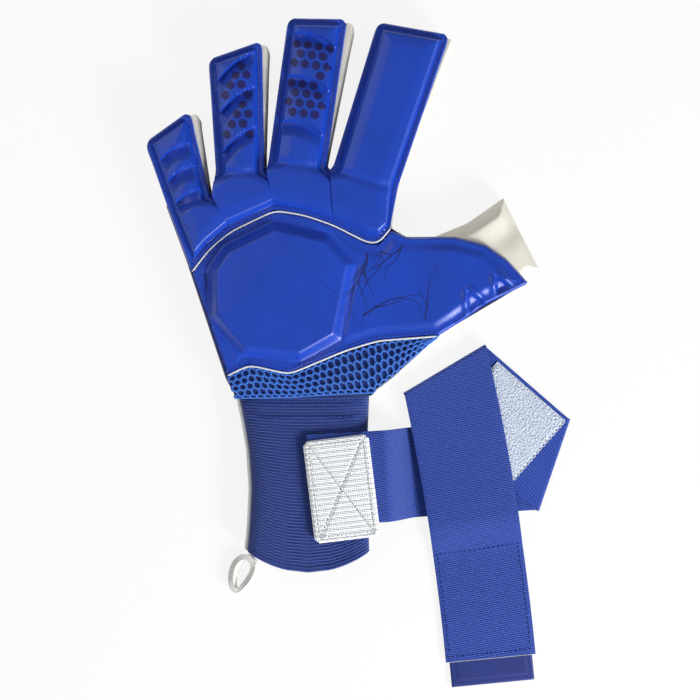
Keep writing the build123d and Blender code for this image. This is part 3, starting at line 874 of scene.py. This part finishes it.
ROOT = joint_point("strap_lift")
FOLD_1 = joint_point("first_fold_open")
FOLD_2 = joint_point("second_fold_open")
TAB_AT = joint_point("tab_lift")
WIDTH = 50.0
WEB = 1.6
ANGLE_1, ANGLE_2, ANGLE_3 = 3.4, 139.0, -77.5
FOLD_1_ANGLE = (ANGLE_1 + ANGLE_2) / 2
FOLD_2_ANGLE = (ANGLE_2 + ANGLE_3 + 360) / 2 - 180
ROOT_TOP = box("strap_root")[1][2]


def across_end(point, line_angle, run_angle, side):
    """Where a fold line meets a strap's left (+1) or right (-1) edge."""
    reach = side * WIDTH / 2 / math.sin(radians(line_angle - run_angle))
    return ahead(point, line_angle, reach)


def sheet_piece(name, left, right, top, mat, flat, thick=WEB, rows=90, columns=30, held="folded", **how):
    """A strap run with softly rounded edges."""
    def upper(x, y, u, v):
        """The upper face of the sheet, thinner at its sides."""
        return top(x, y) - 0.35 * smooth(0.03, 0, min(v, 1 - v))

    def lower(x, y, u, v):
        """The lower face of the sheet, thinner at its sides."""
        return top(x, y) - thick + 0.35 * smooth(0.03, 0, min(v, 1 - v))
    obj = ruled(name, left, right, upper, lower, mat, how.pop("slot", "strap_elastic"), rows=rows,
                columns=columns,
                passes=0, **how)
    return obj


def quad_area(points):
    """The area of a closed outline."""
    return abs(sum(a[0] * b[1] - b[0] * a[1] for a, b in zip(points, points[1:] + points[:1]))) / 2


def run_1_top(x, y):
    """The top of the first run."""
    d = turned((x - ROOT[0], y - ROOT[1]), -ANGLE_1)[0]
    slope = smooth(1, 19, d)
    return ROOT_TOP + (WEB - ROOT_TOP) * slope


def flat_at(z):
    """A surface at one height."""
    return lambda x, y: z


root_corners = [ahead(ahead(ROOT, ANGLE_1, d), ANGLE_1 + 90, s * WIDTH / 2)
                for s, d in ((1, -40), (1, -3), (-1, -40), (-1, -3))]
sheet_piece("strap_sewn_root", root_corners[:2], root_corners[2:], flat_at(ROOT_TOP), STRAP,
            (50, 37, 1850), held="laid", body="hand", nodes=["strap_root"])
run_1_left = [ahead(ahead(ROOT, ANGLE_1, -3), ANGLE_1 + 90, WIDTH / 2),
              across_end(FOLD_1, FOLD_1_ANGLE, ANGLE_1, 1)]
run_1_right = [ahead(ahead(ROOT, ANGLE_1, -3), ANGLE_1 - 90, WIDTH / 2),
               across_end(FOLD_1, FOLD_1_ANGLE, ANGLE_1, -1)]
SLOPE_EXTRA = 9.5 * WIDTH
lift_from, lift_to = ahead(ROOT, ANGLE_1, -2.5), ahead(ROOT, ANGLE_1, 5)
lift_hinge = ("hand", "strap_first_run", (lift_from[0] * MM, lift_from[1] * MM, ROOT_TOP * MM),
              (lift_to[0] * MM, lift_to[1] * MM, ROOT_TOP * MM))
area_1 = quad_area(run_1_left + run_1_right[::-1]) + SLOPE_EXTRA
sheet_piece("strap_first_run_webbing", run_1_left, run_1_right, run_1_top, STRAP, (50, area_1 / 50, area_1),
            blend=lift_hinge, nodes=["strap_run_1"])
run_2_z = box("strap_run_2")[1][2]
run_2_left = [across_end(FOLD_1, FOLD_1_ANGLE, ANGLE_2, 1), across_end(FOLD_2, FOLD_2_ANGLE, ANGLE_2, 1)]
run_2_right = [across_end(FOLD_1, FOLD_1_ANGLE, ANGLE_2, -1), across_end(FOLD_2, FOLD_2_ANGLE, ANGLE_2, -1)]
area_2 = quad_area(run_2_left + run_2_right[::-1])
sheet_piece("strap_second_run_webbing", run_2_left, run_2_right, flat_at(run_2_z), STRAP_2,
            (50, area_2 / 50, area_2), body="strap_second_run", nodes=["strap_run_2"])

# the rounded bights that the webbing makes at its two folds
run_3_low = box("loop_patch")[1][2] + 0.3


def bight(name, ends, low, high, body):
    """The half-round bend of webbing along a fold."""
    (ax, ay), (bx, by) = ends
    size = math.dist(*ends)
    nx, ny = (by - ay) / size, (ax - bx) / size
    verts, faces = [], []
    steps = 10
    for t in (0, 1):
        for shell in (0, 1):
            for k in range(steps + 1):
                angle = math.pi * (k / steps - 0.5)
                r = (high - low) / 2 - shell * WEB * 0.9
                reach = max(math.cos(angle), 0) * min(r, 1.8)
                verts.append((ax + (bx - ax) * t + nx * reach, ay + (by - ay) * t + ny * reach,
                              (low + high) / 2 + r * math.sin(angle)))
    n = 2 * (steps + 1)
    ring = list(range(steps + 1)) + [n - 1 - k for k in range(steps + 1)]
    for p, q in zip(ring, ring[1:] + ring[:1]):
        faces.append((p, q, n + q, n + p))
    faces += [ring[::-1], [n + p for p in ring]]
    return mesh_piece(name, verts, faces, STRAP, "strap_elastic", body=body)


bight("first_fold_bend", (run_1_left[1], run_1_right[1])[::-1], 0.1, run_2_z, "strap_second_run")
bight("second_fold_bend", (run_2_right[1], run_2_left[1]), run_2_z - WEB, run_3_low + WEB, "strap_end_run")

TURN = 7.0
RUN_3 = 161.3
curve_r = RUN_3 / radians(TURN)
curve_at = ahead(FOLD_2, ANGLE_3 - 90, curve_r)


def on_curve(distance, side):
    """The plan point at a distance along the end run, and to one side of it."""
    angle = ANGLE_3 - math.degrees(distance / curve_r)
    return ahead(curve_at, angle + 90, curve_r + side)


END_TOP = box("strap_run_3")[0][2] + WEB


CROSS = 82.0                             # how far the end run stays up over the others
SINK = 22.0                              # length over which it comes down


def run_3_top(x, y):
    """The top of the end run."""
    d = turned((x - FOLD_2[0], y - FOLD_2[1]), -(ANGLE_3 - TURN / 2))[0]
    ripple = 0.25 * math.sin(d / 11) * smooth(20, 50, d) * smooth(150, 120, d)
    return run_3_low + WEB + (END_TOP - run_3_low - WEB) * smooth(CROSS, CROSS + SINK, d) + ripple
starts = {}
for side in (1, -1):
    corner = across_end(FOLD_2, FOLD_2_ANGLE, ANGLE_3, side)
    begin = turned((corner[0] - FOLD_2[0], corner[1] - FOLD_2[1]), -ANGLE_3)[0]
    starts[side] = [corner] + [on_curve(max(begin, 0) + 4 + (RUN_3 - max(begin, 0) - 4.2) * k / 12, side * WIDTH / 2)
                               for k in range(13)]
area_3 = quad_area(starts[1] + starts[-1][::-1])
sheet_piece("strap_end_run_webbing", starts[1], starts[-1], run_3_top, STRAP, (50, area_3 / 50, area_3),
            rows=140, body="strap_end_run", nodes=["strap_run_3"])
for side in (-0.45, 0.45):
    stitches(f"strap_end_thread_{'right' if side < 0 else 'left'}",
             [on_curve(RUN_3 - 60 + 5 * k, side * WIDTH) for k in range(12)], run_3_top, THREAD,
             "strap_elastic",
             body="strap_end_run")
for back in (61.0, 3.0):
    stitches(f"strap_cross_thread_{int(back)}", [on_curve(RUN_3 - back, s) for s in (-24, 24)],
             run_3_top, THREAD, "strap_elastic", body="strap_end_run")

# soft patch on the second run, hook patch under the end
fuzz_start = WIDTH / 2 / math.tan(radians(ANGLE_2 - FOLD_1_ANGLE))
fuzz_left = [ahead(ahead(FOLD_1, ANGLE_2, fuzz_start + d), ANGLE_2 + 90, 23) for d in (0, 50)]
fuzz_right = [ahead(ahead(FOLD_1, ANGLE_2, fuzz_start + d), ANGLE_2 - 90, 23) for d in (0, 50)]
fuzz_top = box("loop_patch")[1][2]
ruled("loop_patch_fuzz", fuzz_left, fuzz_right,
      lambda x, y, u, v: fuzz_top - 0.15 * random.random() - 0.5 * smooth(0.04, 0, min(u, v, 1 - u, 1 - v)),
      lambda x, y, u, v: run_2_z + 0.02, FUZZY, "hook_and_loop", rows=90, columns=80, passes=0,
      body="strap_second_run", nodes=["loop_patch"])
stitches("loop_patch_thread", [fuzz_left[0], fuzz_right[0]], flat_at(fuzz_top - 0.2), WHITE_THREAD,
         "hook_and_loop", body="strap_second_run")
hook_node = frame["nodes"]["hook_patch"]
hook_node.data.materials.clear()
hook_node.data.materials.append(FUZZY)

# bare rubber tab at the end
TAB_ANGLE = ANGLE_3 - TURN
tab_z = box("pull_tab")[1][2]
tab_left = [ahead(ahead(TAB_AT, TAB_ANGLE, d), TAB_ANGLE + 90, 23) for d in (0.3, 13.9)]
tab_right = [ahead(ahead(TAB_AT, TAB_ANGLE, d), TAB_ANGLE - 90, 23) for d in (0.3, 13.9)]


def tab_top(x, y, u, v):
    """The top of the tab."""
    rim = min(v * 46, (1 - v) * 46, (1 - u) * 13.6)
    return tab_z - 0.55 * smooth(0.7, 0, rim) - 0.15 * smooth(2.2, 1.2, abs(rim - 2))


ruled("bare_pull_tab", tab_left, tab_right, tab_top, lambda x, y, u, v: tab_z - 1.6, TAB, "tab_rubber", rows=24,
      columns=80, passes=0, body="tab", nodes=["pull_tab"])

# ---------------------------------------------------------------- white anchor patch

patch_low, patch_high = box("anchor_patch")
PATCH_AT = ((patch_low[0] + patch_high[0]) / 2, (patch_low[1] + patch_high[1]) / 2)
PATCH_W, PATCH_L, PATCH_TURN = 36.0, 56.0, 7.0


def patch_point(x, y):
    """The plan point of a place in the patch's own axes."""
    step = turned((x, y), PATCH_TURN)
    return (PATCH_AT[0] + step[0], PATCH_AT[1] + step[1])


def patch_top(x, y, u, v):
    """The ribbed, sewn top of the patch."""
    cord = 0.28 * abs(math.sin(math.pi * u * PATCH_L / 2.7))
    edge = min(u * PATCH_L, (1 - u) * PATCH_L, v * PATCH_W, (1 - v) * PATCH_W)
    lx, ly = (v - 0.5) * PATCH_W, (u - 0.5) * PATCH_L
    cross = min(abs(lx / 14 - ly / 24), abs(lx / 14 + ly / 24)) * 12
    sewn = 0.5 * smooth(1.2, 0, cross) * (1 if edge > 3 else 0)
    return patch_high[2] + cord - 0.9 * smooth(1.5, 0, edge) - sewn - 0.3 * smooth(0.8, 0, abs(edge - 3.2))


patch_sides = [[patch_point(s * (PATCH_W / 2 - 2.5), -PATCH_L / 2), patch_point(s * PATCH_W / 2, -PATCH_L / 2 + 2.5),
                patch_point(s * PATCH_W / 2, PATCH_L / 2 - 2.5), patch_point(s * (PATCH_W / 2 - 2.5), PATCH_L / 2)]
               for s in (-1, 1)]
ruled("white_anchor_patch", patch_sides[0], patch_sides[1], patch_top, lambda x, y, u, v: ROOT_TOP + 0.02,
      WEBBING,
      "white_webbing", rows=210, columns=60, passes=0, body="hand", nodes=["anchor_patch"])


def on_patch(x, y):
    """The height of thread on the patch."""
    return patch_high[2] + 0.05


for k, (a, b) in enumerate((((-14, -24), (14, 24)), ((-14, 24), (14, -24)), ((-15, -25), (-15, 25)),
                            ((15, -25), (15, 25)), ((-15, -25), (15, -25)), ((-15, 25), (15, 25)))):
    stitches(f"patch_thread_{k}", [patch_point(*a), patch_point(*b)], on_patch, WHITE_THREAD, "white_webbing",
             pitch=2.2, body="hand")

# ---------------------------------------------------------------- hanging loop

LOOP_AT = joint_point("loop_lift")
LOOP_HEADING = 248.0


def loop_piece():
    """A folded tape that twists on its way round."""
    verts, faces = [], []
    steps = 64
    for i in range(steps):
        angle = 2 * math.pi * i / steps
        twist = radians(28) * math.sin(angle)
        lx = 12 + 9.6 * math.cos(angle)
        ly = 5.2 * math.sin(angle) * (1 - 0.25 * math.cos(angle))
        out = (math.cos(angle), math.sin(angle))
        for dr, dz in ((-1.6, -2.2), (1.6, -2.2), (1.6, 2.2), (-1.6, 2.2)):
            r = dr * math.cos(twist) - dz * math.sin(twist)
            z = dr * math.sin(twist) + dz * math.cos(twist)
            step = turned((lx + out[0] * r, ly + out[1] * r), LOOP_HEADING)
            verts.append((LOOP_AT[0] + step[0], LOOP_AT[1] + step[1], 2.8 + z))
    for i in range(steps):
        for k in range(4):
            m, j = (k + 1) % 4, (i + 1) % steps
            faces.append((i * 4 + k, i * 4 + m, j * 4 + m, j * 4 + k))
    return mesh_piece("white_hanging_loop", verts, faces, TAPE, "white_tape", body="loop", nodes=["pull_loop"])


loop_piece()

# ---------------------------------------------------------------- floor, light and camera

bpy.ops.mesh.primitive_plane_add(size=6, location=(0, 0, -0.0005))
floor = bpy.context.object
floor.name = "floor"
floor_mat = bpy.data.materials.new("floor")
floor_mat.use_nodes = True
tree = floor_mat.node_tree
shader = tree.nodes["Principled BSDF"]
shader.inputs["Base Color"].default_value = (0.86, 0.86, 0.86, 1)
shader.inputs["Roughness"].default_value = 0.9
glow = tree.nodes.new("ShaderNodeEmission")
paths = tree.nodes.new("ShaderNodeLightPath")
either = tree.nodes.new("ShaderNodeMath")
either.operation = "MAXIMUM"
share = tree.nodes.new("ShaderNodeMath")
share.operation = "MULTIPLY"
share.inputs[1].default_value = 0.86
mix = tree.nodes.new("ShaderNodeMixShader")
tree.links.new(paths.outputs["Is Camera Ray"], either.inputs[0])
tree.links.new(paths.outputs["Is Glossy Ray"], either.inputs[1])
tree.links.new(either.outputs[0], share.inputs[0])
tree.links.new(share.outputs[0], mix.inputs[0])
tree.links.new(shader.outputs[0], mix.inputs[1])
tree.links.new(glow.outputs[0], mix.inputs[2])
tree.links.new(mix.outputs[0], tree.nodes["Material Output"].inputs["Surface"])
floor.data.materials.append(floor_mat)

world = bpy.data.worlds.new("studio")
bpy.context.scene.world = world
world.use_nodes = True
world.node_tree.nodes["Background"].inputs["Color"].default_value = (1, 1, 1, 1)
world.node_tree.nodes["Background"].inputs["Strength"].default_value = 0.27


def softbox(name, place, aim, size, power):
    """A square soft lamp aimed at a point."""
    lamp = bpy.data.lights.new(name, "AREA")
    lamp.size = size
    lamp.energy = power
    obj = bpy.data.objects.new(name, lamp)
    bpy.context.scene.collection.objects.link(obj)
    obj.location = place
    away = [a - b for a, b in zip(place, aim)]
    flat = math.hypot(away[0], away[1])
    obj.rotation_euler = (math.atan2(flat, away[2]), 0, math.atan2(away[0], -away[1]))


softbox("key", (0.75, -0.75, 0.55), (0, 0, 0), 0.45, 19)
softbox("fill", (-0.8, 0.5, 1.0), (0, 0, 0), 1.0, 4)

camera = bpy.data.cameras.new("camera")
camera.sensor_width = 36
CAMERA_HEIGHT = 0.95
VIEW = 0.385                      # width of the view at the glove's height
camera.lens = 36 * (CAMERA_HEIGHT - 0.01) / VIEW
camera_obj = bpy.data.objects.new("camera", camera)
bpy.context.scene.collection.objects.link(camera_obj)
camera_obj.location = (-0.005, 0.0032, CAMERA_HEIGHT)
bpy.context.scene.camera = camera_obj
bpy.context.scene.view_settings.view_transform = "Standard"
